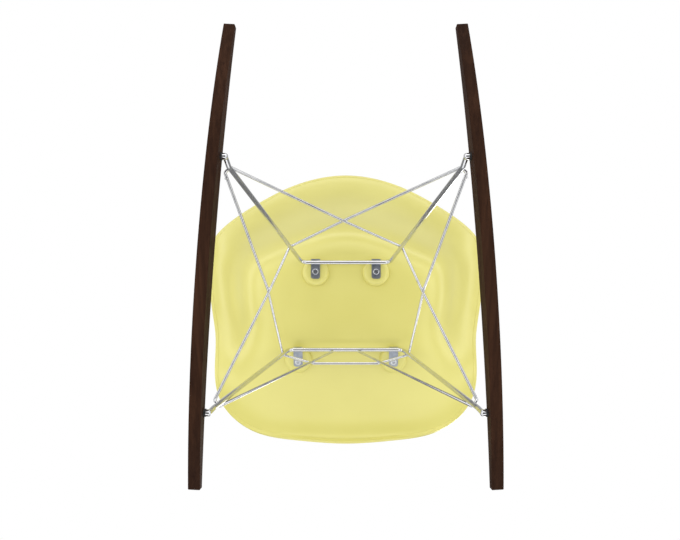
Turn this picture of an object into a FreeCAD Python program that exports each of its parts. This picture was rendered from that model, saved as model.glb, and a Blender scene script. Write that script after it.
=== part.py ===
# Moulded plastic rocking chair: a one-piece armchair shell, screwed through four brackets to a welded
# rod base that stands on two wooden rockers.
# Millimetres. +Z is up, the sitter faces -Y, and the sitter's left is +X. The origin is on the floor
# under the middle of the chair's outline.
import FreeCAD, Part
import Sketcher
import math
import os

from FreeCAD import Placement, Rotation, Vector

SIZES = (
    # The shell
    ("shell_width", 629.0, "over the arms"),
    ("shell_depth", 612.0, "front lip to the top of the back, seen from above"),
    ("shell_wall", 5.0, "thickness of the moulding"),
    ("lip_height", 385.0, "floor to the front edge"),
    ("arm_height", 514.0, "floor to the edge of the arms"),
    ("back_height", 675.0, "floor to the top edge of the back"),
    ("seat_height", 335.5, "floor to the underside of the seat, at its middle"),
    ("seat_middle", 277.0, "front lip to the middle of the seat"),
    ("seat_pitch", 5.7, "backward tilt of the seat at its middle, in degrees"),
    ("pan_radius", 42.0, "flat round the middle of the seat"),
    ("boss_diameter", 53.0, "round mounting boss under the seat"),
    ("boss_drop", 12.0, "how far a boss stands below the seat"),
    ("boss_rounding", 9.0, "rounding of the lower edge of a boss"),
    ("boss_root", 3.0, "how far a boss reaches into the wall"),
    # The fastenings under the seat
    ("front_mount_setback", 173.5, "front lip to the front screws"),
    ("rear_mount_setback", 344.4, "front lip to the rear screws"),
    ("front_mount_width", 187.0, "between the front screws"),
    ("rear_mount_width", 118.0, "between the rear screws"),
    ("bracket_width", 17.5, "plate welded on a bar"),
    ("bracket_plate", 3.0, "thickness of the plate"),
    ("bracket_corner", 5.0, "rounding of the front corners of the plate"),
    ("front_bracket_nose", 10.0, "front screws forward to the end of their plate"),
    ("rear_bracket_nose", 13.5, "rear screws forward to the end of their plate"),
    ("front_bracket_reach", 26.2, "front screws back to their bar"),
    ("rear_bracket_reach", 17.8, "rear screws back to their bar"),
    ("front_bracket_heel", 3.5, "front bar to the rear edge of its plates"),
    ("rear_bracket_heel", 7.5, "rear bar to the rear edge of its plates"),
    ("screw_diameter", 6.0, "thread of the seat screws"),
    ("screw_grip", 9.0, "length of screw in the insert"),
    ("screw_head_diameter", 12.4, "pan head"),
    ("screw_head_rise", 4.2, "thickness of the pan head"),
    ("socket_width", 4.0, "across the flats of the driving socket"),
    ("socket_drop", 2.4, "depth of the driving socket"),
    ("insert_diameter", 12.0, "threaded insert moulded in a boss"),
    ("insert_length", 11.0, "length of the insert"),
    ("thread_gap", 0.15, "clearance round a screw or bolt"),
    # The rod base
    ("rod_diameter", 7.8, "leg hoops"),
    ("wire_diameter", 4.8, "bracing wires"),
    ("front_bar_width", 221.0, "between the bends of the front hoop"),
    ("rear_bar_width", 170.0, "between the bends of the rear hoop"),
    ("leg_bend", 14.0, "bend radius at the ends of a bar"),
    ("front_hub_drop", 17.0, "front bend down the leg to the wires"),
    ("rear_hub_drop", 54.0, "rear bend down the leg to the wires"),
    ("knee_rise", 17.0, "foot up to the slight bend low on each leg"),
    ("front_knee_lead", -3.9, "front foot forward to that bend, which is behind it"),
    ("rear_knee_lead", 11.5, "rear foot forward to that bend"),
    ("front_knee_width", 385.4, "between the low bends of the front legs"),
    ("rear_knee_width", 347.6, "between the low bends of the rear legs"),
    ("front_hook_rise", 22.5, "low bend up the front leg to the wires"),
    ("rear_hook_rise", 9.0, "low bend up the rear leg to the wires"),
    ("hook_bend", 4.0, "bend radius where a wire goes round a leg"),
    ("crossing_bend", 30.0, "bend radius where wires press on each other"),
    ("weld_gap", 0.1, "clearance between a wire and the rod it is welded to"),
    ("side_crossing_reach", 104.0, "rear leg along the side wire to where the other wire crosses it"),
    ("kick_out", 11.0, "leg outward to the bend of a side wire beside it"),
    ("kick_reach", 3.0, "leg along the side wire to that bend"),
    ("splice_reach", 9.0, "that bend to where two wires are butt welded, on the rear side wires"),
    ("tie_width", 119.0, "level stretch of the wire in front of the front bar"),
    ("brace_end_width", 52.0, "between the ends of the braces on the front bar"),
    ("brace_end_angle", 35.0, "forward of straight down, where a brace meets the front bar"),
    # The feet
    ("front_foot_setback", 111.8, "front end of a rocker to the front bolt"),
    ("rear_foot_setback", 482.2, "front end of a rocker to the rear bolt"),
    ("bolt_rise", 17.5, "underside of a rocker to a bolt"),
    ("bolt_diameter", 5.0, "thread of the rocker bolts"),
    ("bolt_head_diameter", 10.0, "countersunk head"),
    ("bolt_head_drop", 2.8, "depth of the countersunk head"),
    ("bolt_grip", 4.5, "length of bolt in the ferrule"),
    ("bolt_socket_width", 3.0, "across the flats of the bolt's driving socket"),
    ("bolt_socket_drop", 2.0, "depth of the bolt's driving socket"),
    ("ferrule_diameter", 10.0, "domed metal end of a leg"),
    ("ferrule_length", 8.0, "length of the ferrule with its dome"),
    ("spacer_diameter", 11.5, "black spacer against the rocker"),
    ("spacer_thickness", 3.0, "spacer between the rocker and the ferrule"),
    # The rockers
    ("rocker_length", 698.9, "straight from end to end"),
    ("rocker_thickness", 17.5, "across the wood"),
    ("rocker_waist", 34.0, "height of the wood at its middle"),
    ("rocker_radius", 1170.0, "curve of the underside"),
    ("rocker_top_radius", 1900.0, "curve of the top"),
    ("rocker_roll", 2.42, "how far the rockers are rolled back round the centre of their curve, degrees"),
    ("rocker_front_width", 452.0, "over both rockers at their front ends"),
    ("rocker_splay", 3.06, "turn of each rocker away from the middle towards the front, in degrees"),
    ("rocker_edge", 1.5, "rounding of the long edges"),
    ("shell_overhang", 18.5, "how far the lip stands ahead of the rockers"),
)

# The rim of the shell from the front lip round one side to the top of the back: its share of half the
# width, its share of the depth, and its rise, counted 0 at the lip, 1 at the arms and 2 at the top.
RIM = (
    (0.000, 0.0065, 0.000),
    (0.312, 0.016, 0.004),
    (0.592, 0.042, 0.016),
    (0.796, 0.123, 0.047),
    (0.862, 0.232, 0.145),
    (0.890, 0.341, 0.480),
    (0.954, 0.448, 0.850),
    (0.996, 0.575, 1.020),
    (0.980, 0.694, 1.080),
    (0.853, 0.793, 1.400),
    (0.658, 0.877, 1.680),
    (0.376, 0.959, 1.890),
    (0.000, 1.000, 2.000),
)

# How the seat runs out to the rim at the front, the front corner, the arm, the rear corner and the
# back: shares of the way out and of the rise, for the control points between the middle and the rim.
SECTIONS = (
    ((0.343, 0.34), (0.540, 0.66), (0.758, 1.06), (0.957, 1.38)),
    ((0.342, 0.18), (0.529, 0.34), (0.731, 0.66), (0.918, 1.12)),
    ((0.367, 0.00), (0.617, 0.02), (0.750, 0.42), (0.850, 0.92)),
    ((0.339, 0.00), (0.531, 0.03), (0.673, 0.39), (0.855, 0.89)),
    ((0.284, 0.00), (0.463, 0.03), (0.597, 0.35), (0.851, 0.90)),
)

# Points along each side of the shell's spline faces, rounds that settle a closed spline, and the small step
# that measures a slope on the shell
SKIN_POINTS = 41
SETTLING_ROUNDS = 60
PROBE = 0.001

# The lower round edge of a cylinder, the upright front edges of a box, how rounded a screw head and a
# ferrule are, how much of a run a bend may take, and rounds that settle the wires against the legs and
# each other
HEAD_RIM = 2
PLATE_CORNERS = (1, 5)
PAN_SHARE = 0.5
DOME_SHARE = 0.8
BEND_ROOM = 0.48
WIRE_ROUNDS = 6

doc = FreeCAD.newDocument("RockingChair")
sheet = doc.addObject("Spreadsheet::Sheet", "Sizes")
for row, (alias, value, note) in enumerate(SIZES, start=1):
    sheet.set(f"A{row}", note)
    sheet.set(f"B{row}", str(value))
    sheet.setAlias(f"B{row}", alias)
doc.recompute()


def size(alias):
    return float(sheet.get(alias))


# Where the chair's main lines lie along Y
SPLAY = math.radians(size("rocker_splay"))
ROLL = math.radians(size("rocker_roll"))
HALF_ROCKER = size("rocker_length") / 2


def arc_rise(radius, along):
    return radius - math.sqrt(radius**2 - along**2)


# Where a rocker's front and rear ends are along it, counted from its lowest point
ROCKER_TOP = size("rocker_waist") + arc_rise(size("rocker_top_radius"), HALF_ROCKER)
ROCKER_BOTTOM = arc_rise(size("rocker_radius"), HALF_ROCKER)
ROCKER_TIP = (size("rocker_radius") - ROCKER_TOP) * math.sin(ROLL) - HALF_ROCKER * math.cos(ROLL)
ROCKER_TAIL = (size("rocker_radius") - ROCKER_BOTTOM) * math.sin(ROLL) + HALF_ROCKER * math.cos(ROLL)
ROCKER_RUN = (ROCKER_TAIL - ROCKER_TIP) * math.cos(SPLAY) + size("rocker_thickness") * math.sin(SPLAY)
LIP_Y = -(ROCKER_RUN + size("shell_overhang")) / 2
ROCKER_FRONT_Y = LIP_Y + size("shell_overhang")

sub_parts = []


def keep(obj, label):
    obj.Label = label
    sub_parts.append(obj)
    return obj


# Closed curves and sections of the shell


def settled(values):
    # Control values of the closed uniform cubic spline that passes through the given values
    controls = list(values)
    count = len(values)
    for _ in range(SETTLING_ROUNDS):
        controls = [
            controls[i] + values[i]
            - (controls[i - 1] + 4 * controls[i] + controls[(i + 1) % count]) / 6
            for i in range(count)
        ]
    return controls


def round_trip(half, mirror=1):
    return list(half) + [mirror * value for value in reversed(half[1:-1])]


def closed_value(controls, turn):
    count = len(controls)
    place = (turn % 1.0) * count
    index = int(place)
    part = place - index
    weights = (
        (1 - part) ** 3 / 6,
        (3 * part**3 - 6 * part**2 + 4) / 6,
        (-3 * part**3 + 3 * part**2 + 3 * part + 1) / 6,
        part**3 / 6,
    )
    return sum(w * controls[(index - 1 + i) % count] for i, w in enumerate(weights))


def rise_height(rise):
    lip, arm, back = size("lip_height"), size("arm_height"), size("back_height")
    if rise <= 1:
        return lip + rise * (arm - lip)
    return arm + (rise - 1) * (back - arm)


SEAT_MIDDLE = Vector(0, LIP_Y + size("seat_middle"), size("seat_height"))
SEAT_SLOPE = math.tan(math.radians(size("seat_pitch")))
RIM_X = settled(round_trip([size("shell_width") / 2 * across for across, along, rise in RIM], -1))
RIM_Y = settled(round_trip([LIP_Y + size("shell_depth") * along for across, along, rise in RIM]))
RIM_Z = settled(round_trip([rise_height(rise) for across, along, rise in RIM]))
SECTION_RINGS = [
    (
        settled(round_trip([section[ring][0] for section in SECTIONS])),
        settled(round_trip([section[ring][1] for section in SECTIONS])),
    )
    for ring in range(len(SECTIONS[0]))
]
SECTION_KNOTS = (0, 0, 0, 0, 0.25, 0.5, 0.75, 1, 1, 1, 1)


def section_controls(turn):
    rim = Vector(closed_value(RIM_X, turn), closed_value(RIM_Y, turn), closed_value(RIM_Z, turn))
    out = Vector(rim.x - SEAT_MIDDLE.x, rim.y - SEAT_MIDDLE.y, 0)
    rise = rim.z - SEAT_MIDDLE.z
    flat = out * (size("pan_radius") / out.Length)
    controls = [SEAT_MIDDLE, SEAT_MIDDLE + Vector(flat.x, flat.y, -SEAT_SLOPE * flat.y)]
    for out_share, rise_share in SECTION_RINGS:
        step = out * closed_value(out_share, turn)
        controls.append(SEAT_MIDDLE + Vector(step.x, step.y, rise * closed_value(rise_share, turn)))
    controls.append(rim)
    return controls


def spline_value(controls, place):
    # De Boor's rule for a cubic with clamped ends
    span = 3
    while span < len(controls) - 1 and place >= SECTION_KNOTS[span + 1]:
        span += 1
    points = [controls[span - 3 + i] for i in range(4)]
    for level in range(1, 4):
        for i in range(3, level - 1, -1):
            low = SECTION_KNOTS[span - 3 + i]
            high = SECTION_KNOTS[span + 1 + i - level]
            share = (place - low) / (high - low)
            points[i] = points[i - 1] * (1 - share) + points[i] * share
    return points[3]


def underside(turn, place):
    # A point of the shell's outer face: turn goes round from the front lip, place from middle to rim
    return spline_value(section_controls(turn), place)


def inward(turn, place):
    # The direction through the wall, from the outer face towards the sitter
    if place < PROBE:
        return Vector(0, SEAT_SLOPE, 1).normalize()
    out = underside(turn, place) - underside(turn, place - PROBE)
    along = underside(turn + PROBE, place) - underside(turn - PROBE, place)
    return out.cross(along).normalize()


def skin(depth):
    # A spline face through a grid of points laid over the round of the rim, depth inside the outer face
    steps = [math.sin(math.pi * (i / (SKIN_POINTS - 1) - 0.5)) for i in range(SKIN_POINTS)]
    rows = []
    for v in steps:
        row = []
        for u in steps:
            across = u * math.sqrt(1 - v * v / 2)
            along = v * math.sqrt(1 - u * u / 2)
            place = min(1.0, math.hypot(across, along))
            turn = math.atan2(across, -along) / (2 * math.pi)
            row.append(underside(turn, place) + inward(turn, place) * depth)
        rows.append(row)
    row_poles = [pole_line(row, steps).getPoles() for row in rows]
    columns = [pole_line([poles[i] for poles in row_poles], steps) for i in range(len(row_poles[0]))]
    poles = [column.getPoles() for column in columns]
    knots = columns[0].getKnots()
    mults = columns[0].getMultiplicities()
    surface = Part.BSplineSurface()
    surface.buildFromPolesMultsKnots(poles, mults, mults, knots, knots, False, False, 3, 3)
    return surface


def pole_line(points, parameters):
    curve = Part.BSplineCurve()
    curve.interpolate(Points=points, Parameters=parameters)
    return curve


def shell_moulding():
    outer = skin(0)
    inner = skin(size("shell_wall"))
    faces = [outer.toShape(), inner.toShape()]
    for end in (-1, 1):
        faces.append(Part.makeRuledSurface(outer.uIso(end).toShape(), inner.uIso(end).toShape()))
        faces.append(Part.makeRuledSurface(outer.vIso(end).toShape(), inner.vIso(end).toShape()))
    joined = Part.Compound(faces)
    joined.sewShape()
    solid = Part.Solid(joined.Shells[0])
    if solid.Volume < 0:
        solid.reverse()
    return solid


# Building blocks


def feature(label, shape):
    obj = doc.addObject("Part::Feature", label)
    obj.Shape = shape
    return obj


def primitive(kind, label, placement, **bindings):
    obj = doc.addObject(f"Part::{kind}", label)
    for name, expression in bindings.items():
        obj.setExpression(name, expression)
    obj.Placement = placement
    return obj


def joined(label, shapes):
    obj = doc.addObject("Part::MultiFuse", label)
    obj.Shapes = shapes
    return obj


def cut(label, base, tool):
    obj = doc.addObject("Part::Cut", label)
    obj.Base = base
    obj.Tool = tool
    return obj


def rounded(label, base, edges, radius):
    obj = doc.addObject("Part::Fillet", label)
    obj.Base = base
    obj.Edges = [(edge, radius, radius) for edge in edges]
    return obj


def mirrored(source, label):
    obj = doc.addObject("Part::Mirroring", label)
    obj.Source = source
    obj.Normal = Vector(1, 0, 0)
    return obj


def raised(height):
    return Placement(Vector(0, 0, height), Rotation())


def unit(vector):
    return vector * (1 / vector.Length)


def flip(point):
    return Vector(-point.x, point.y, point.z)


def rod(stops, diameter):
    # A round rod through the stops, each a point and the bend radius there
    points = [point for point, bend in stops]
    start = points[0]
    edges = []
    for i in range(1, len(points) - 1):
        back = unit(points[i - 1] - points[i])
        ahead = unit(points[i + 1] - points[i])
        half_turn = (math.pi - back.getAngle(ahead)) / 2
        room = BEND_ROOM * min((points[i - 1] - points[i]).Length, (points[i + 1] - points[i]).Length)
        bend = min(stops[i][1], room / math.tan(half_turn))
        reach = bend * math.tan(half_turn)
        middle = bend / math.cos(half_turn) - bend
        enter = points[i] + back * reach
        leave = points[i] + ahead * reach
        crown = points[i] + unit(back + ahead) * middle
        edges.append(Part.LineSegment(start, enter).toShape())
        edges.append(Part.Arc(enter, crown, leave).toShape())
        start = leave
    edges.append(Part.LineSegment(start, points[-1]).toShape())
    path = Part.Wire(edges)
    ring = Part.Wire(Part.Circle(points[0], unit(points[1] - points[0]), diameter / 2).toShape())
    return path.makePipeShell([ring], True, False)


# Seat shell with its bosses

moulding = feature("Moulding", shell_moulding())


def wall_underside(x, y):
    probe = Part.makeLine(Vector(x, y, 0), Vector(x, y, size("back_height")))
    return moulding.Shape.common(probe).BoundBox.ZMin


def mount_frame(setback, half_width):
    # On the bottom of a boss: Z up the screw, Y rearward along the seat
    y = LIP_Y + setback
    step = size("boss_diameter") / 4
    rise = wall_underside(half_width, y + step) - wall_underside(half_width, y - step)
    turn = Rotation(Vector(1, 0, 0), math.degrees(math.atan2(rise, 2 * step)))
    seat = Vector(half_width, y, wall_underside(half_width, y))
    return Placement(seat - turn.multVec(Vector(0, 0, size("boss_drop"))), turn)


MOUNTS = {
    "front": mount_frame(size("front_mount_setback"), size("front_mount_width") / 2),
    "rear": mount_frame(size("rear_mount_setback"), size("rear_mount_width") / 2),
}

bosses = []
pockets = []
for end, frame in MOUNTS.items():
    stub = primitive(
        "Cylinder", f"{end}_left_stub", frame,
        Radius="Sizes.boss_diameter / 2", Height="Sizes.boss_drop + Sizes.boss_root",
    )
    boss = rounded(f"{end}_left_boss", stub, [HEAD_RIM], size("boss_rounding"))
    pocket = primitive(
        "Cylinder", f"{end}_left_pocket", frame,
        Radius="Sizes.insert_diameter / 2", Height="Sizes.insert_length",
    )
    bosses += [boss, mirrored(boss, f"{end}_right_boss")]
    pockets += [pocket, mirrored(pocket, f"{end}_right_pocket")]
bossed = joined("Bossed", [moulding] + bosses)
keep(cut("Shell", bossed, joined("Pockets", pockets)), "seat_shell")


# Brackets, screws and inserts under the seat


def insert(end, frame):
    body = primitive(
        "Cylinder", f"{end}_insert_body", frame,
        Radius="Sizes.insert_diameter / 2", Height="Sizes.insert_length",
    )
    bore = primitive(
        "Cylinder", f"{end}_insert_bore", frame,
        Radius="Sizes.screw_diameter / 2 + Sizes.thread_gap", Height="Sizes.insert_length",
    )
    return cut(f"{end}_insert", body, bore)


def bracket(end, frame):
    under = -size("bracket_plate")
    corner = Vector(-size("bracket_width") / 2, -size(f"{end}_bracket_nose"), under)
    plate = primitive(
        "Box", f"{end}_plate", frame * Placement(corner, Rotation()),
        Length="Sizes.bracket_width", Height="Sizes.bracket_plate",
        Width=f"Sizes.{end}_bracket_nose + Sizes.{end}_bracket_reach + Sizes.{end}_bracket_heel",
    )
    blank = rounded(f"{end}_blank", plate, PLATE_CORNERS, size("bracket_corner"))
    hole = primitive(
        "Cylinder", f"{end}_hole", frame * raised(under),
        Radius="Sizes.screw_diameter / 2 + Sizes.thread_gap", Height="Sizes.bracket_plate",
    )
    return cut(f"{end}_bracket", blank, hole)


def screw(end, frame):
    under = -size("bracket_plate")
    head = primitive(
        "Cylinder", f"{end}_head", frame * raised(under - size("screw_head_rise")),
        Radius="Sizes.screw_head_diameter / 2", Height="Sizes.screw_head_rise",
    )
    pan = rounded(f"{end}_pan", head, [HEAD_RIM], PAN_SHARE * size("screw_head_rise"))
    thread = primitive(
        "Cylinder", f"{end}_thread", frame * raised(under),
        Radius="Sizes.screw_diameter / 2", Height="Sizes.bracket_plate + Sizes.screw_grip",
    )
    socket = primitive(
        "Prism", f"{end}_socket", frame * raised(under - size("screw_head_rise")),
        Circumradius="Sizes.socket_width / sqrt(3)", Height="Sizes.socket_drop",
    )
    socket.Polygon = 6
    return cut(f"{end}_screw", joined(f"{end}_screw_blank", [pan, thread]), socket)


for end, frame in MOUNTS.items():
    for name, build in (("insert", insert), ("bracket", bracket), ("screw", screw)):
        left = keep(build(end, frame), f"{end}_left_{name}")
        keep(mirrored(left, f"{end}_right_{name}"), f"{end}_right_{name}")


# Rockers


def rocker_blank():
    body = doc.addObject("PartDesign::Body", "RockerBody")
    sketch = body.newObject("Sketcher::SketchObject", "RockerSide")
    plane = [item for item in body.Origin.OriginFeatures if item.Role == "YZ_Plane"][0]
    sketch.AttachmentSupport = (plane, "")
    sketch.MapMode = "FlatFace"
    low_radius = size("rocker_radius")
    top_radius = size("rocker_top_radius")
    low_centre = Vector(0, low_radius, 0)
    top_centre = Vector(0, size("rocker_waist") + top_radius, 0)

    def arc(centre, radius):
        half = math.asin(HALF_ROCKER / radius)
        circle = Part.Circle(centre, Vector(0, 0, 1), radius)
        return Part.ArcOfCircle(circle, -math.pi / 2 - half, -math.pi / 2 + half)

    low = arc(low_centre, low_radius)
    top = arc(top_centre, top_radius)
    ends = (Part.LineSegment(low.EndPoint, top.EndPoint), Part.LineSegment(low.StartPoint, top.StartPoint))
    for piece in (low, top) + ends:
        sketch.addGeometry(piece, False)
    LOW, TOP, REAR, FRONT = 0, 1, 2, 3
    START, END, CENTRE = 1, 2, 3
    UPRIGHT_AXIS = -2
    fixed = Sketcher.Constraint
    for constraint in (
        fixed("Coincident", LOW, END, REAR, START),
        fixed("Coincident", TOP, END, REAR, END),
        fixed("Coincident", LOW, START, FRONT, START),
        fixed("Coincident", TOP, START, FRONT, END),
        fixed("PointOnObject", LOW, CENTRE, UPRIGHT_AXIS),
        fixed("PointOnObject", TOP, CENTRE, UPRIGHT_AXIS),
        fixed("Vertical", REAR),
        fixed("Vertical", FRONT),
    ):
        sketch.addConstraint(constraint)
    for constraint, expression in (
        (fixed("Radius", LOW, low_radius), "Sizes.rocker_radius"),
        (fixed("Radius", TOP, top_radius), "Sizes.rocker_top_radius"),
        (fixed("DistanceY", LOW, CENTRE, low_centre.y), "Sizes.rocker_radius"),
        (fixed("DistanceY", TOP, CENTRE, top_centre.y), "Sizes.rocker_waist + Sizes.rocker_top_radius"),
        (fixed("DistanceX", LOW, END, HALF_ROCKER), "Sizes.rocker_length / 2"),
        (fixed("DistanceX", LOW, START, -HALF_ROCKER), "-Sizes.rocker_length / 2"),
    ):
        index = sketch.addConstraint(constraint)
        sketch.setExpression(f"Constraints[{index}]", expression)
    pad = body.newObject("PartDesign::Pad", "RockerWood")
    pad.Profile = sketch
    pad.setExpression("Length", "Sizes.rocker_thickness")
    doc.recompute()
    rounding = body.newObject("PartDesign::Fillet", "RockerEdges")
    rounding.Base = (pad, [f"Edge{i + 1}" for i in range(len(pad.Shape.Edges))])
    rounding.setExpression("Radius", "Sizes.rocker_edge")
    body.Tip = rounding
    curve_centre = raised(low_radius)
    body.Placement = curve_centre * Placement(Vector(), Rotation(Vector(1, 0, 0), size("rocker_roll"))) * (
        curve_centre.inverse()
    )
    return body


# The left rocker's own frame: on the floor at its lowest point, X outward from its inner face, Y rearward
OUTER_FRONT = Vector(size("rocker_thickness"), ROCKER_TIP, 0)
LEFT_TURN = Rotation(Vector(0, 0, 1), size("rocker_splay"))
LEFT_ROCKER = Placement(
    Vector(size("rocker_front_width") / 2, ROCKER_FRONT_Y + size("rocker_thickness") * math.sin(SPLAY), 0)
    - LEFT_TURN.multVec(OUTER_FRONT),
    LEFT_TURN,
)


def foot_frame(setback):
    # On the rocker's inner face at a bolt: Z outward along the bolt
    along = ROCKER_TIP + setback
    spot = Vector(0, along, arc_rise(size("rocker_radius"), along) + size("bolt_rise"))
    return Placement(spot, Rotation(Vector(0, 1, 0), 90))


FEET = {
    "front": foot_frame(size("front_foot_setback")),
    "rear": foot_frame(size("rear_foot_setback")),
}


def bolt(name, frame, gap):
    shank = primitive(
        "Cylinder", f"{name}_shank", frame * raised(-size("spacer_thickness") - size("bolt_grip")),
        Radius=f"Sizes.bolt_diameter / 2 + {gap}",
        Height="Sizes.spacer_thickness + Sizes.bolt_grip + Sizes.rocker_thickness",
    )
    head = primitive(
        "Cone", f"{name}_head", frame * raised(size("rocker_thickness") - size("bolt_head_drop")),
        Radius1=f"Sizes.bolt_diameter / 2 + {gap}", Radius2=f"Sizes.bolt_head_diameter / 2 + {gap}",
        Height="Sizes.bolt_head_drop",
    )
    return joined(name, [shank, head])


NO_GAP = "0"
BOLT_GAP = "Sizes.thread_gap"

bolt_holes = joined("BoltHoles", [bolt(f"{end}_bolt_hole", frame, BOLT_GAP) for end, frame in FEET.items()])
left_rocker = keep(cut("Rocker", rocker_blank(), bolt_holes), "left_rocker")
left_rocker.Placement = LEFT_ROCKER
keep(mirrored(left_rocker, "right_rocker"), "right_rocker")


# Bolts, spacers and ferrules at the feet


def rocker_bolt(end, frame):
    socket = primitive(
        "Prism", f"{end}_bolt_socket", frame * raised(size("rocker_thickness") - size("bolt_socket_drop")),
        Circumradius="Sizes.bolt_socket_width / sqrt(3)", Height="Sizes.bolt_socket_drop",
    )
    socket.Polygon = 6
    return cut(f"{end}_bolt", bolt(f"{end}_bolt_blank", frame, NO_GAP), socket)


def ring(name, frame, radius, height, start):
    body = primitive("Cylinder", f"{name}_body", frame * raised(start), Radius=radius, Height=height)
    hole = primitive(
        "Cylinder", f"{name}_bore", frame * raised(-size("spacer_thickness") - size("bolt_grip")),
        Radius="Sizes.bolt_diameter / 2 + Sizes.thread_gap",
        Height="Sizes.spacer_thickness + Sizes.bolt_grip",
    )
    return body, hole


def spacer(end, frame):
    body, hole = ring(
        f"{end}_spacer", frame, "Sizes.spacer_diameter / 2", "Sizes.spacer_thickness",
        -size("spacer_thickness"),
    )
    return cut(f"{end}_spacer", body, hole)


def ferrule(end, frame):
    body, hole = ring(
        f"{end}_ferrule", frame, "Sizes.ferrule_diameter / 2", "Sizes.ferrule_length",
        -size("spacer_thickness") - size("ferrule_length"),
    )
    dome = rounded(f"{end}_dome", body, [HEAD_RIM], DOME_SHARE * size("ferrule_diameter") / 2)
    return dome, cut(f"{end}_ferrule", dome, hole)


domes = {}
for end, frame in FEET.items():
    domes[end], capped = ferrule(end, frame)
    for name, obj in (
        ("bolt", rocker_bolt(end, frame)), ("spacer", spacer(end, frame)), ("ferrule", capped),
    ):
        left = keep(obj, f"{end}_left_{name}")
        left.Placement = LEFT_ROCKER
        keep(mirrored(left, f"{end}_right_{name}"), f"{end}_right_{name}")
doc.recompute()


# Leg hoops: a bar under the brackets, bent down at each end to a ferrule

FERRULE_MIDDLE = -size("spacer_thickness") - size("ferrule_length") / 2


class Leg:
    def __init__(self, end):
        bar = Vector(0, size(f"{end}_bracket_reach"), -size("bracket_plate") - size("rod_diameter") / 2)
        seat = MOUNTS[end].multVec(bar)
        self.corner = Vector(size(f"{end}_bar_width") / 2, seat.y, seat.z)
        self.foot = (LEFT_ROCKER * FEET[end]).multVec(Vector(0, 0, FERRULE_MIDDLE))
        self.knee = Vector(
            size(f"{end}_knee_width") / 2,
            self.foot.y - size(f"{end}_knee_lead"),
            self.foot.z + size("knee_rise"),
        )
        self.down = unit(self.knee - self.corner)
        self.hub = self.corner + self.down * size(f"{end}_hub_drop")
        self.hook = self.knee - self.down * size(f"{end}_hook_rise")


LEGS = {"front": Leg("front"), "rear": Leg("rear")}


def hoop(end):
    leg = LEGS[end]
    bend = size("leg_bend")
    stops = [(leg.foot, 0), (leg.knee, bend), (leg.corner, bend)]
    stops += [(flip(leg.corner), bend), (flip(leg.knee), bend), (flip(leg.foot), 0)]
    cap = domes[end].Shape.copy()
    cap.Placement = LEFT_ROCKER * cap.Placement
    other_cap = cap.mirror(Vector(0, 0, 0), Vector(1, 0, 0))
    return rod(stops, size("rod_diameter")).cut(cap).cut(other_cap)


for end in LEGS:
    keep(feature(f"{end}_hoop", hoop(end)), f"{end}_leg_hoop")


# Bracing wires

WIRE_TO_ROD = (size("rod_diameter") + size("wire_diameter")) / 2 + size("weld_gap")
WIRE_TO_WIRE = size("wire_diameter") + size("weld_gap")


def round_leg(leg, spot, stops, beyond):
    # The two corners of a wire round the far side of a leg at spot. The wire comes straight from the
    # first of the stops and goes straight to the second, and beyond are the two places it is stretched
    # between.
    def flat(place):
        run = place - spot
        return run - leg.down * run.dot(leg.down)

    over = unit(sum((unit(flat(place)) for place in beyond), Vector())) * -1
    side = unit(leg.down.cross(over))
    if side.dot(flat(beyond[0])) < 0:
        side = side * -1
    corners = []
    for place, way in zip(stops, (side, side * -1)):
        run = flat(place)
        aside = run.dot(way)
        out = run.dot(over)
        tangent = math.sqrt(run.Length**2 - WIRE_TO_ROD**2)
        slide = WIRE_TO_ROD * (aside - tangent) / (out + WIRE_TO_ROD)
        corners.append(spot + over * WIRE_TO_ROD + way * slide)
    return corners


def kick(leg, beyond):
    # The bend of a side wire just outside a leg, on its way from the hook to beyond
    return leg.hook + unit(beyond - leg.hook) * size("kick_reach") + Vector(size("kick_out"), 0, 0)


def off_crossing(first, second):
    # The step that keeps two crossing wires apart, upward from their common point
    step = unit(first.cross(second)) * (WIRE_TO_WIRE / 2)
    return step if step.z > 0 else step * -1


front, rear = LEGS["front"], LEGS["rear"]
brace_end = Vector(
    size("brace_end_width") / 2,
    front.corner.y - WIRE_TO_ROD * math.sin(math.radians(size("brace_end_angle"))),
    front.corner.z - WIRE_TO_ROD * math.cos(math.radians(size("brace_end_angle"))),
)
rear_hub = [rear.hub, rear.hub]
rear_hook = [rear.hook, rear.hook]
front_hook = [front.hook, front.hook]
front_kick = front.hook
for _ in range(WIRE_ROUNDS):
    side_run = front_kick - rear_hub[0]
    side_crossing = rear_hub[0] + unit(side_run) * size("side_crossing_reach")
    side_step = off_crossing(side_run, front.hub - rear.hook)
    under_crossing = side_crossing - side_step
    over_crossing = side_crossing + side_step
    back_run = flip(rear_hook[0]) - rear_hub[1]
    back_crossing = rear_hub[1] + back_run * (rear_hub[1].x / (rear_hub[1].x + rear_hook[0].x))
    back_step = off_crossing(back_run, flip(back_run))
    brace_run = brace_end - front_hook[0]
    tie_share = (front_hook[0].x - size("tie_width") / 2) / (front_hook[0].x - brace_end.x)
    tie_corner = front_hook[0] + brace_run * tie_share + off_crossing(brace_run, Vector(1, 0, 0)) * 2
    front_kick = kick(front, under_crossing)
    rear_kick = kick(rear, over_crossing)
    front_hook = round_leg(front, front.hook, (brace_end, front_kick), (brace_end, under_crossing))
    rear_hook = round_leg(rear, rear.hook, (flip(rear.hub), rear_kick), (flip(rear.hub), over_crossing))
    rear_hub = round_leg(rear, rear.hub, (under_crossing, back_crossing), (under_crossing, back_crossing))
    front_hub = round_leg(front, front.hub, (over_crossing, tie_corner), (over_crossing, tie_corner))
hook_bend = size("hook_bend")
splice = rear_kick + unit(over_crossing - rear_kick) * size("splice_reach")


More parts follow.
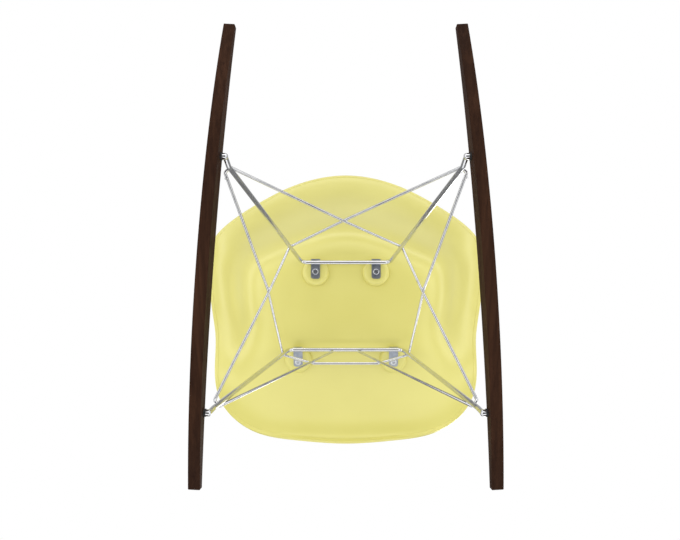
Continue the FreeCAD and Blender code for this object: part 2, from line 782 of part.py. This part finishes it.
def brace(crossing_side, side):
    # From the front bar to the front foot, up to the rear leg and over to the rear foot on the other side
    hooked = [*front_hook, front_kick]
    stops = [(brace_end, 0)] + [(point, hook_bend) for point in hooked]
    stops.append((under_crossing, size("crossing_bend")))
    stops += [(point, hook_bend) for point in rear_hub]
    stops.append((back_crossing + back_step * crossing_side, size("crossing_bend")))
    stops += [(flip(point), hook_bend) for point in (*rear_hook, rear_kick)]
    stops.append((flip(splice), 0))
    return rod([(side(point), bend) for point, bend in stops], size("wire_diameter"))


def tie():
    # From one rear foot to the front leg, across in front of the front bar and back to the other rear foot
    half = [(splice, 0), (over_crossing, size("crossing_bend"))]
    half += [(point, hook_bend) for point in (*front_hub, tie_corner)]
    return rod(half + [(flip(point), bend) for point, bend in reversed(half)], size("wire_diameter"))


keep(feature("LeftBrace", brace(1, lambda p: p)), "left_brace_wire")
keep(feature("RightBrace", brace(-1, flip)), "right_brace_wire")
keep(feature("Tie", tie()), "tie_wire")


# Check and write every piece

doc.recompute()
for obj in doc.Objects:
    if "Invalid" in obj.State or "Error" in obj.State:
        raise RuntimeError(f"{obj.Label} failed: {obj.State}")
os.makedirs("parts", exist_ok=True)
for part in sub_parts:
    shape = part.Shape
    if shape.isNull() or not shape.isValid() or len(shape.Solids) != 1:
        raise RuntimeError(f"{part.Label} isn't one sound solid")
    shape.exportStep(f"parts/{part.Label}.step")
print(f"{len(sub_parts)} pieces written")
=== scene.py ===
import math

import bmesh
import bpy
from mathutils import Matrix, Vector, noise
from mathutils.bvhtree import BVHTree


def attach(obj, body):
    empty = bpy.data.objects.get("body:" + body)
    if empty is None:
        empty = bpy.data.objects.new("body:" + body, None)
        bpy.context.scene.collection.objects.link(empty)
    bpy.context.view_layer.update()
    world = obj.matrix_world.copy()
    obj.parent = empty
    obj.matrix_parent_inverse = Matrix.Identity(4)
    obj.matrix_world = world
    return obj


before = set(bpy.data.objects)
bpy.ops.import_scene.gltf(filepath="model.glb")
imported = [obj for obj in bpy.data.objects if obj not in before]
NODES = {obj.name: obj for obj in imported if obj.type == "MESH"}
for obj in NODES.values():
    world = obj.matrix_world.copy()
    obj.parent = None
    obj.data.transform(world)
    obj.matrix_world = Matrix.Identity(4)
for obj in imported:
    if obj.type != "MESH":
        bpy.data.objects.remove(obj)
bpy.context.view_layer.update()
scene = bpy.context.scene

MM = 0.001


# Node materials


def fill_ramp(node, stops):
    elements = node.color_ramp.elements
    while len(elements) < len(stops):
        elements.new(0.5)
    for element, (position, colour) in zip(elements, stops):
        element.position = position
        element.color = (*colour, 1)


class Graph:
    """A material's node tree with one Principled shader."""

    def __init__(self, name):
        self.material = bpy.data.materials.new(name)
        self.material.use_nodes = True
        self.tree = self.material.node_tree
        self.tree.nodes.clear()
        self.shader = self.add("ShaderNodeBsdfPrincipled")
        out = self.add("ShaderNodeOutputMaterial")
        self.link(self.shader.outputs["BSDF"], out.inputs["Surface"])

    def add(self, kind, **values):
        node = self.tree.nodes.new(kind)
        for key, value in values.items():
            setattr(node, key, value)
        return node

    def link(self, source, target):
        self.tree.links.new(source, target)

    def put(self, **values):
        for key, value in values.items():
            self.shader.inputs[key.replace("_", " ")].default_value = value

    def place(self, scale=(1, 1, 1), turn=(0, 0, 0), shift=(0, 0, 0)):
        coordinates = self.add("ShaderNodeTexCoord")
        mapping = self.add("ShaderNodeMapping")
        mapping.inputs["Location"].default_value = shift
        mapping.inputs["Rotation"].default_value = turn
        self.link(coordinates.outputs["Object"], mapping.inputs["Vector"])
        stretch = self.add("ShaderNodeMapping")
        stretch.inputs["Scale"].default_value = scale
        self.link(mapping.outputs["Vector"], stretch.inputs["Vector"])
        return stretch.outputs["Vector"]

    def noise(self, vector, scale, detail, roughness=0.5, distortion=0.0):
        node = self.add("ShaderNodeTexNoise")
        node.inputs["Scale"].default_value = scale
        node.inputs["Detail"].default_value = detail
        node.inputs["Roughness"].default_value = roughness
        node.inputs["Distortion"].default_value = distortion
        self.link(vector, node.inputs["Vector"])
        return node.outputs["Fac"]

    def spread(self, value, low, high, start=0.3, end=0.7):
        node = self.add("ShaderNodeMapRange")
        node.inputs["From Min"].default_value = start
        node.inputs["From Max"].default_value = end
        node.inputs["To Min"].default_value = low
        node.inputs["To Max"].default_value = high
        self.link(value, node.inputs["Value"])
        return node.outputs["Result"]

    def ramp(self, value, stops):
        node = self.add("ShaderNodeValToRGB")
        fill_ramp(node, stops)
        self.link(value, node.inputs["Fac"])
        return node.outputs["Color"]

    def mix(self, share, base, colour):
        node = self.add("ShaderNodeMix", data_type="RGBA")
        self.link(share, node.inputs[0])
        self.link(base, node.inputs[6])
        node.inputs[7].default_value = (*colour, 1)
        return node.outputs[2]

    def bump(self, height, distance, strength, after=None):
        node = self.add("ShaderNodeBump")
        node.inputs["Distance"].default_value = distance
        node.inputs["Strength"].default_value = strength
        self.link(height, node.inputs["Height"])
        if after is not None:
            self.link(after, node.inputs["Normal"])
        return node.outputs["Normal"]

    def finish(self, colour, roughness, normal):
        for name, socket in (("Base Color", colour), ("Roughness", roughness), ("Normal", normal)):
            self.link(socket, self.shader.inputs[name])
        return self.material


def moulded_plastic():
    g = Graph("moulded_plastic")
    here = g.place()
    clouds = g.noise(here, 7.0, 2.0)
    specks = g.noise(here, 900.0, 2.0)
    base = g.ramp(clouds, ((0.30, PLASTIC_LOW), (0.70, PLASTIC_HIGH)))
    colour = g.mix(g.spread(specks, 0.0, 0.10), base, PLASTIC_SPECK)
    grain = g.noise(here, 1500.0, 3.0, 0.6)
    ripple = g.noise(here, 22.0, 2.0)
    normal = g.bump(grain, 0.00003, 0.15)
    normal = g.bump(ripple, 0.0006, 0.5, normal)
    g.put(Specular_IOR_Level=0.6, Coat_Weight=0.25, Coat_Roughness=0.18)
    return g.finish(colour, g.spread(clouds, 0.30, 0.38), normal)


def bright_chrome():
    g = Graph("bright_chrome")
    here = g.place()
    smear = g.noise(here, 60.0, 3.0)
    draw = g.noise(here, 700.0, 2.0)
    colour = g.ramp(smear, ((0.3, (0.66, 0.67, 0.69)), (0.7, (0.76, 0.76, 0.77))))
    g.put(Metallic=1.0)
    return g.finish(colour, g.spread(smear, 0.08, 0.17), g.bump(draw, 0.00003, 0.4))


def plated_steel(name, colours, roughness):
    g = Graph(name)
    here = g.place()
    brushed = g.noise(g.place(scale=(300.0, 2600.0, 2600.0)), 1.0, 3.0)
    bloom = g.noise(here, 160.0, 3.0)
    colour = g.ramp(bloom, ((0.3, colours[0]), (0.7, colours[1])))
    g.put(Metallic=1.0)
    return g.finish(colour, g.spread(brushed, *roughness), g.bump(brushed, 0.00004, 0.5))


def stained_wood(name, turn, shift):
    g = Graph(name)
    broad = g.noise(g.place((26.0, 1.6, 26.0), (0, 0, turn), shift), 1.0, 4.0, 0.55, 0.6)
    streaks = g.noise(g.place((190.0, 3.2, 190.0), (0, 0, turn), shift), 1.0, 5.0, 0.65, 0.2)
    pores = g.noise(g.place((1500.0, 26.0, 1500.0), (0, 0, turn), shift), 1.0, 2.0, 0.5)
    base = g.ramp(broad, ((0.25, WOOD[0]), (0.5, WOOD[1]), (0.75, WOOD[2])))
    grained = g.mix(g.spread(streaks, 0.0, 0.75, 0.35, 0.72), base, WOOD[3])
    pored = g.mix(g.spread(pores, 0.0, 0.8, 0.60, 0.78), grained, WOOD[4])
    normal = g.bump(pores, 0.00012, 0.5)
    normal = g.bump(streaks, 0.00012, 0.4, normal)
    g.put(Specular_IOR_Level=0.06)
    return g.finish(pored, g.spread(streaks, 0.58, 0.74), normal)


def black_rubber():
    g = Graph("black_rubber")
    here = g.place()
    dust = g.noise(here, 320.0, 4.0)
    colour = g.ramp(dust, ((0.35, (0.012, 0.012, 0.013)), (0.75, (0.035, 0.034, 0.033))))
    return g.finish(colour, g.spread(dust, 0.5, 0.7), g.bump(dust, 0.0001, 0.6))


def turned_brass():
    g = Graph("turned_brass")
    here = g.place()
    tarnish = g.noise(here, 240.0, 3.0)
    colour = g.ramp(tarnish, ((0.3, (0.62, 0.44, 0.17)), (0.7, (0.76, 0.58, 0.28))))
    g.put(Metallic=1.0)
    return g.finish(colour, g.spread(tarnish, 0.25, 0.4), g.bump(tarnish, 0.00004, 0.5))


PLASTIC_LOW = (0.690, 0.635, 0.165)
PLASTIC_HIGH = (0.730, 0.675, 0.190)
PLASTIC_SPECK = (0.780, 0.730, 0.300)
WOOD = (
    (0.022, 0.010, 0.006),
    (0.038, 0.016, 0.008),
    (0.060, 0.026, 0.014),
    (0.014, 0.006, 0.004),
    (0.006, 0.003, 0.002),
)
SPLAY = math.radians(3.06)

PLASTIC = moulded_plastic()
CHROME = bright_chrome()
STEEL = plated_steel("zinc_plated_steel", ((0.33, 0.36, 0.42), (0.44, 0.47, 0.53)), (0.30, 0.46))
SCREW = plated_steel("bright_screw", ((0.55, 0.57, 0.61), (0.68, 0.70, 0.73)), (0.20, 0.32))
RUBBER = black_rubber()
BRASS = turned_brass()
LEFT_WOOD = stained_wood("stained_wood_left", SPLAY, (0.0, 0.0, 0.0))
RIGHT_WOOD = stained_wood("stained_wood_right", -SPLAY, (0.37, 0.21, 0.13))


def finish_of(node):
    if node == "seat_shell":
        return PLASTIC
    if node == "left_rocker":
        return LEFT_WOOD
    if node == "right_rocker":
        return RIGHT_WOOD
    if node.endswith("_bracket"):
        return STEEL
    if node.endswith(("_screw", "_bolt")):
        return SCREW
    if node.endswith("_spacer"):
        return RUBBER
    if node.endswith("_insert"):
        return BRASS
    return CHROME


for name, obj in NODES.items():
    obj.data.materials.clear()
    obj.data.materials.append(finish_of(name))


# New pieces

SEAM = 0.002 * MM


def piece(name, mesh, material):
    for polygon in mesh.polygons:
        polygon.use_smooth = True
    mesh.materials.append(material)
    obj = bpy.data.objects.new(name, mesh)
    scene.collection.objects.link(obj)
    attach(obj, "root")


def welded_copy(node):
    """The node's mesh with the vertices of its face edges joined again."""
    bm = bmesh.new()
    bm.from_mesh(NODES[node].data)
    bmesh.ops.remove_doubles(bm, verts=bm.verts, dist=SEAM)
    bm.normal_update()
    return bm


# The edge of the shell: a flat band along its underside

SHELL_MIDDLE = Vector((0.0, -0.06, 0.34))
RIM_SHARPNESS = math.radians(50)
RIM_WIDTH = 7.5 * MM
RIM_RISE = 0.7 * MM
RIM_PROBE = 0.2 * MM
RIM_STEPS = 420
# Across the band: the share of its width, and the share of its rise there
RIM_PROFILE = (
    (0.00, -0.3), (0.00, 0.35), (0.03, 0.75), (0.10, 1.0), (0.30, 1.0), (0.55, 1.0), (0.80, 1.0),
    (0.92, 0.95), (0.98, 0.6), (1.00, 0.1), (1.01, -0.3),
)


def sharp_rings(bm):
    """The lines of sharp edges of a mesh, the one with the most points first. Each is a list of points in
    order round the seat."""
    links = {}
    for edge in bm.edges:
        if edge.calc_face_angle(0) > RIM_SHARPNESS:
            for a, b in (edge.verts, reversed(edge.verts)):
                links.setdefault(a, []).append(b)
    rings = []
    seen = set()
    for start in links:
        if start in seen:
            continue
        ring = []
        waiting = [start]
        seen.add(start)
        while waiting:
            vertex = waiting.pop()
            ring.append(vertex.co.copy())
            fresh = [v for v in links[vertex] if v not in seen]
            seen.update(fresh)
            waiting.extend(fresh)
        rings.append(sorted(ring, key=lambda p: math.atan2(p.y - SHELL_MIDDLE.y, p.x)))
    rings.sort(key=len, reverse=True)
    return rings


def evenly(points, count):
    """count points spaced evenly along a closed line through the points."""
    ring = points + [points[0]]
    lengths = [(b - a).length for a, b in zip(ring, ring[1:])]
    total = sum(lengths)
    found = []
    i = 0
    passed = 0.0
    for k in range(count):
        goal = total * k / count
        while passed + lengths[i] < goal:
            passed += lengths[i]
            i += 1
        found.append(ring[i].lerp(ring[i + 1], (goal - passed) / lengths[i]))
    return found


def shell_edge_band():
    bm = welded_copy("seat_shell")
    tree = BVHTree.FromBMesh(bm)
    rims = [evenly(ring, RIM_STEPS) for ring in sharp_rings(bm)[:2]]
    # The outer rim is the one further out at the arms
    rims.sort(key=lambda ring: -max(abs(p.x) for p in ring))
    outer, inner = rims
    count = len(outer)
    rows = []
    for i, spot in enumerate(outer):
        tangent = (outer[(i + 1) % count] - outer[i - 1]).normalized()
        mate = min(inner, key=lambda p: (p - spot).length_squared)
        out = (spot - mate).normalized()
        aside = out.cross(tangent).normalized()
        if aside.dot(SHELL_MIDDLE - spot) < 0:
            aside = -aside
        row = []
        for share, rise in RIM_PROFILE:
            near = spot + aside * (share * RIM_WIDTH) + out * RIM_PROBE
            hit, normal, _, _ = tree.find_nearest(near)
            if share == 0.0:
                hit, normal = spot, out
            row.append(hit + normal.normalized() * (rise * RIM_RISE))
        rows.append(row)
    bm.free()
    band = bmesh.new()
    verts = [[band.verts.new(p) for p in row] for row in rows]
    for i in range(count):
        a, b = verts[i], verts[(i + 1) % count]
        for j in range(len(RIM_PROFILE) - 1):
            band.faces.new((a[j], b[j], b[j + 1], a[j + 1]))
        band.faces.new((a[-1], b[-1], b[0], a[0]))
    bmesh.ops.recalc_face_normals(band, faces=band.faces)
    mesh = bpy.data.meshes.new("shell_edge_band")
    band.to_mesh(mesh)
    band.free()
    return mesh


piece("shell_edge_band", shell_edge_band(), PLASTIC)


# Weld beads where a wire lies against a rod or another wire, and where a bracket lies on its bar

WELD_GAP = 0.35 * MM
WELD_STEP = 1.0 * MM
WELD_SPREAD = 14 * MM
WELD_RADIUS = 3.1 * MM
WELD_HALF_HEIGHT = 1.5 * MM
WELD_LUMPS = 0.18
LUMP_WAVES = 420
BEAD_SUBDIVISIONS = 3
WELDS = {
    "left_brace_wire": ("rear_leg_hoop", "front_leg_hoop", "right_brace_wire"),
    "right_brace_wire": ("rear_leg_hoop", "front_leg_hoop"),
    "tie_wire": ("rear_leg_hoop", "front_leg_hoop", "left_brace_wire", "right_brace_wire"),
    "front_left_bracket": ("front_leg_hoop",),
    "front_right_bracket": ("front_leg_hoop",),
    "rear_left_bracket": ("rear_leg_hoop",),
    "rear_right_bracket": ("rear_leg_hoop",),
}


def contacts(first, second):
    """Where two nodes all but touch: the middle of each such place, and the way the second one's surface
    faces there."""
    other = welded_copy(second)
    tree = BVHTree.FromBMesh(other)
    mine = welded_copy(first)
    near = []
    for edge in mine.edges:
        start, stop = (vertex.co for vertex in edge.verts)
        count = 1 + int(edge.calc_length() / WELD_STEP)
        for i in range(count):
            spot = start.lerp(stop, (i + 0.5) / count)
            hit, normal, _, gap = tree.find_nearest(spot, WELD_GAP)
            if hit is not None:
                near.append((gap, (spot + hit) / 2, normal.normalized()))
    mine.free()
    other.free()
    near.sort(key=lambda entry: entry[0])
    found = []
    for _, middle, way in near:
        if all((middle - spot).length > WELD_SPREAD for spot, _ in found):
            found.append((middle, way))
    return found


def weld_bead(bm, middle, way):
    turn = way.to_track_quat("Z", "Y").to_matrix().to_4x4()
    shape = Matrix.Diagonal((WELD_RADIUS, WELD_RADIUS, WELD_HALF_HEIGHT, 1))
    made = bmesh.ops.create_icosphere(
        bm, subdivisions=BEAD_SUBDIVISIONS, radius=1.0, matrix=Matrix.Translation(middle) @ turn @ shape
    )
    for vertex in made["verts"]:
        lump = noise.noise(vertex.co * LUMP_WAVES)
        vertex.co = middle + (vertex.co - middle) * (1 + WELD_LUMPS * lump)


for node, others in WELDS.items():
    beads = bmesh.new()
    for other in others:
        for middle, way in contacts(node, other):
            weld_bead(beads, middle, way)
    weld_mesh = bpy.data.meshes.new(f"{node}_welds")
    beads.to_mesh(weld_mesh)
    beads.free()
    piece(f"{node}_welds", weld_mesh, CHROME)


# Stage

FLOOR_HALF = 9.0
FLOOR_DROP = 0.6 * MM
FLOOR_COLOUR = (0.86, 0.86, 0.855)
FLOOR_FADE = (0.9, 3.2)
BACKGROUND = 1.0


def one_way_floor():
    """Pale and opaque from above, where it fades into the backdrop with distance. Clear from below, since
    the photograph looks up through it."""
    material = bpy.data.materials.new("studio_floor")
    material.use_nodes = True
    tree = material.node_tree
    tree.nodes.clear()
    out = tree.nodes.new("ShaderNodeOutputMaterial")
    pale = tree.nodes.new("ShaderNodeBsdfDiffuse")
    pale.inputs["Color"].default_value = (*FLOOR_COLOUR, 1)
    clear = tree.nodes.new("ShaderNodeBsdfTransparent")
    face = tree.nodes.new("ShaderNodeNewGeometry")
    where = tree.nodes.new("ShaderNodeTexCoord")
    distance = tree.nodes.new("ShaderNodeVectorMath")
    distance.operation = "LENGTH"
    tree.links.new(where.outputs["Object"], distance.inputs[0])
    fade = tree.nodes.new("ShaderNodeMapRange")
    fade.interpolation_type = "SMOOTHSTEP"
    fade.inputs["From Min"].default_value, fade.inputs["From Max"].default_value = FLOOR_FADE
    tree.links.new(distance.outputs["Value"], fade.inputs["Value"])
    either = tree.nodes.new("ShaderNodeMath")
    either.operation = "MAXIMUM"
    tree.links.new(face.outputs["Backfacing"], either.inputs[0])
    tree.links.new(fade.outputs["Result"], either.inputs[1])
    mix = tree.nodes.new("ShaderNodeMixShader")
    tree.links.new(either.outputs["Value"], mix.inputs["Fac"])
    tree.links.new(pale.outputs["BSDF"], mix.inputs[1])
    tree.links.new(clear.outputs["BSDF"], mix.inputs[2])
    tree.links.new(mix.outputs["Shader"], out.inputs["Surface"])
    return material


def studio_floor():
    mesh = bpy.data.meshes.new("studio_floor")
    corners = [(x * FLOOR_HALF, y * FLOOR_HALF, 0.0) for x, y in ((-1, -1), (1, -1), (1, 1), (-1, 1))]
    mesh.from_pydata(corners, [], [(0, 1, 2, 3)])
    mesh.materials.append(one_way_floor())
    obj = bpy.data.objects.new("studio_floor", mesh)
    obj.location = (0, 0, -FLOOR_DROP)
    scene.collection.objects.link(obj)
    # Lamps stand above it and below it, and it stands in the way of neither
    obj.visible_shadow = False
    obj.visible_diffuse = False
    obj.visible_glossy = False
    return obj


studio_floor()


def studio_world():
    """A white backdrop, and a soft studio all round. What surfaces reflect has more contrast than the light
    that falls on them: a dim spot straight below, a bright ring round it, a second one level with the chair
    and a dim ceiling."""
    world = bpy.data.worlds.new("studio")
    world.use_nodes = True
    tree = world.node_tree
    tree.nodes.clear()
    out = tree.nodes.new("ShaderNodeOutputWorld")
    where = tree.nodes.new("ShaderNodeTexCoord")
    split = tree.nodes.new("ShaderNodeSeparateXYZ")
    tree.links.new(where.outputs["Generated"], split.inputs["Vector"])
    height = tree.nodes.new("ShaderNodeMapRange")
    height.inputs["From Min"].default_value = -1.0
    height.inputs["From Max"].default_value = 1.0
    tree.links.new(split.outputs["Z"], height.inputs["Value"])

    def levels(stops):
        ramp = tree.nodes.new("ShaderNodeValToRGB")
        fill_ramp(ramp, [(position, (level, level, level)) for position, level in stops])
        tree.links.new(height.outputs["Result"], ramp.inputs["Fac"])
        return ramp.outputs["Color"]

    # Both are brighter towards the rear of the chair
    rearward = tree.nodes.new("ShaderNodeMapRange")
    rearward.inputs["From Min"].default_value = -1.0
    rearward.inputs["To Min"].default_value = 1 - REAR_GAIN
    rearward.inputs["To Max"].default_value = 1 + REAR_GAIN
    tree.links.new(split.outputs["Y"], rearward.inputs["Value"])

    def surroundings(stops, strength):
        background = tree.nodes.new("ShaderNodeBackground")
        tree.links.new(levels(stops), background.inputs["Color"])
        gain = tree.nodes.new("ShaderNodeMath")
        gain.operation = "MULTIPLY"
        gain.inputs[1].default_value = strength
        tree.links.new(rearward.outputs["Result"], gain.inputs[0])
        tree.links.new(gain.outputs["Value"], background.inputs["Strength"])
        return background.outputs["Background"]

    def either(ray, first, second):
        mix = tree.nodes.new("ShaderNodeMixShader")
        tree.links.new(rays.outputs[ray], mix.inputs["Fac"])
        tree.links.new(first, mix.inputs[1])
        tree.links.new(second, mix.inputs[2])
        return mix.outputs["Shader"]

    rays = tree.nodes.new("ShaderNodeLightPath")
    backdrop = tree.nodes.new("ShaderNodeBackground")
    backdrop.inputs["Color"].default_value = (BACKGROUND, BACKGROUND, BACKGROUND, 1)
    soft = surroundings(SOFT_LIGHT, SOFT_STRENGTH)
    studio = either("Is Glossy Ray", soft, surroundings(REFLECTED, REFLECTED_STRENGTH))
    seen = either("Is Camera Ray", studio, backdrop.outputs["Background"])
    tree.links.new(seen, out.inputs["Surface"])
    scene.world = world


# Pairs of height, from 0 straight below to 1 straight above, and the level there
SOFT_LIGHT = ((0.00, 0.48), (0.25, 0.68), (0.45, 1.00), (0.60, 1.00), (0.80, 0.60), (1.00, 0.60))
SOFT_STRENGTH = 1.23
REFLECTED = (
    (0.000, 0.03), (0.030, 0.05), (0.080, 0.30), (0.130, 0.75), (0.200, 0.80), (0.270, 0.20), (0.400, 0.12),
    (0.460, 0.75), (0.540, 0.80), (0.600, 0.10), (0.800, 0.08), (0.900, 0.20), (1.000, 0.30),
)
REFLECTED_STRENGTH = 2.6
REAR_GAIN = 0.18
studio_world()


def lamp(name, place, target, size, power, mirrored=True):
    light = bpy.data.lights.new(name, "AREA")
    light.shape = "RECTANGLE"
    light.size, light.size_y = size
    light.energy = power
    obj = bpy.data.objects.new(name, light)
    obj.location = place
    obj.rotation_mode = "QUATERNION"
    obj.rotation_quaternion = (Vector(target) - Vector(place)).to_track_quat("-Z", "Y")
    obj.visible_camera = False
    obj.visible_glossy = mirrored
    scene.collection.objects.link(obj)


SEAT = (0, 0, 0.35)
ABOVE_SEAT = (0, 0, 0.4)
lamp("key", place=(-1.5, -1.6, 2.4), target=SEAT, size=(1.6, 1.2), power=26)
lamp("fill", place=(1.9, -0.6, 1.6), target=SEAT, size=(1.4, 1.4), power=10, mirrored=False)
lamp("below_front", place=(0, -1.3, -0.9), target=(0, -0.2, 0.35), size=(2.0, 0.5), power=4, mirrored=False)
for name, side in (("below_left", 1), ("below_right", -1)):
    lamp(name, place=(side * 1.15, 0.1, -1.2), target=ABOVE_SEAT, size=(0.5, 2.0), power=9, mirrored=False)


# The camera is below the chair and looks up, with the front of the chair at the bottom of the picture

# In pixels of the picture
PICTURE_WIDTH = 680
FOCAL = 577.0
MIDDLE_COLUMN = 345.8

SENSOR_WIDTH = 36.0
CAMERA_DROP = 0.800
CAMERA_Y = -0.06825
CAMERA_TILT = math.radians(3.0)

camera = bpy.data.cameras.new("camera")
camera.sensor_width = SENSOR_WIDTH
camera.lens = FOCAL / PICTURE_WIDTH * SENSOR_WIDTH
camera.shift_x = (PICTURE_WIDTH / 2 - MIDDLE_COLUMN) / PICTURE_WIDTH
camera.clip_start = 0.05
camera.clip_end = 50.0
eye = bpy.data.objects.new("camera", camera)
scene.collection.objects.link(eye)
right = Vector((-1, 0, 0))
up = Vector((0, math.cos(CAMERA_TILT), -math.sin(CAMERA_TILT)))
back = right.cross(up)
turn = Matrix((right, up, back)).transposed().to_4x4()
eye.matrix_world = Matrix.Translation((0, CAMERA_Y, -CAMERA_DROP)) @ turn
scene.camera = eye

scene.view_settings.view_transform = "Standard"
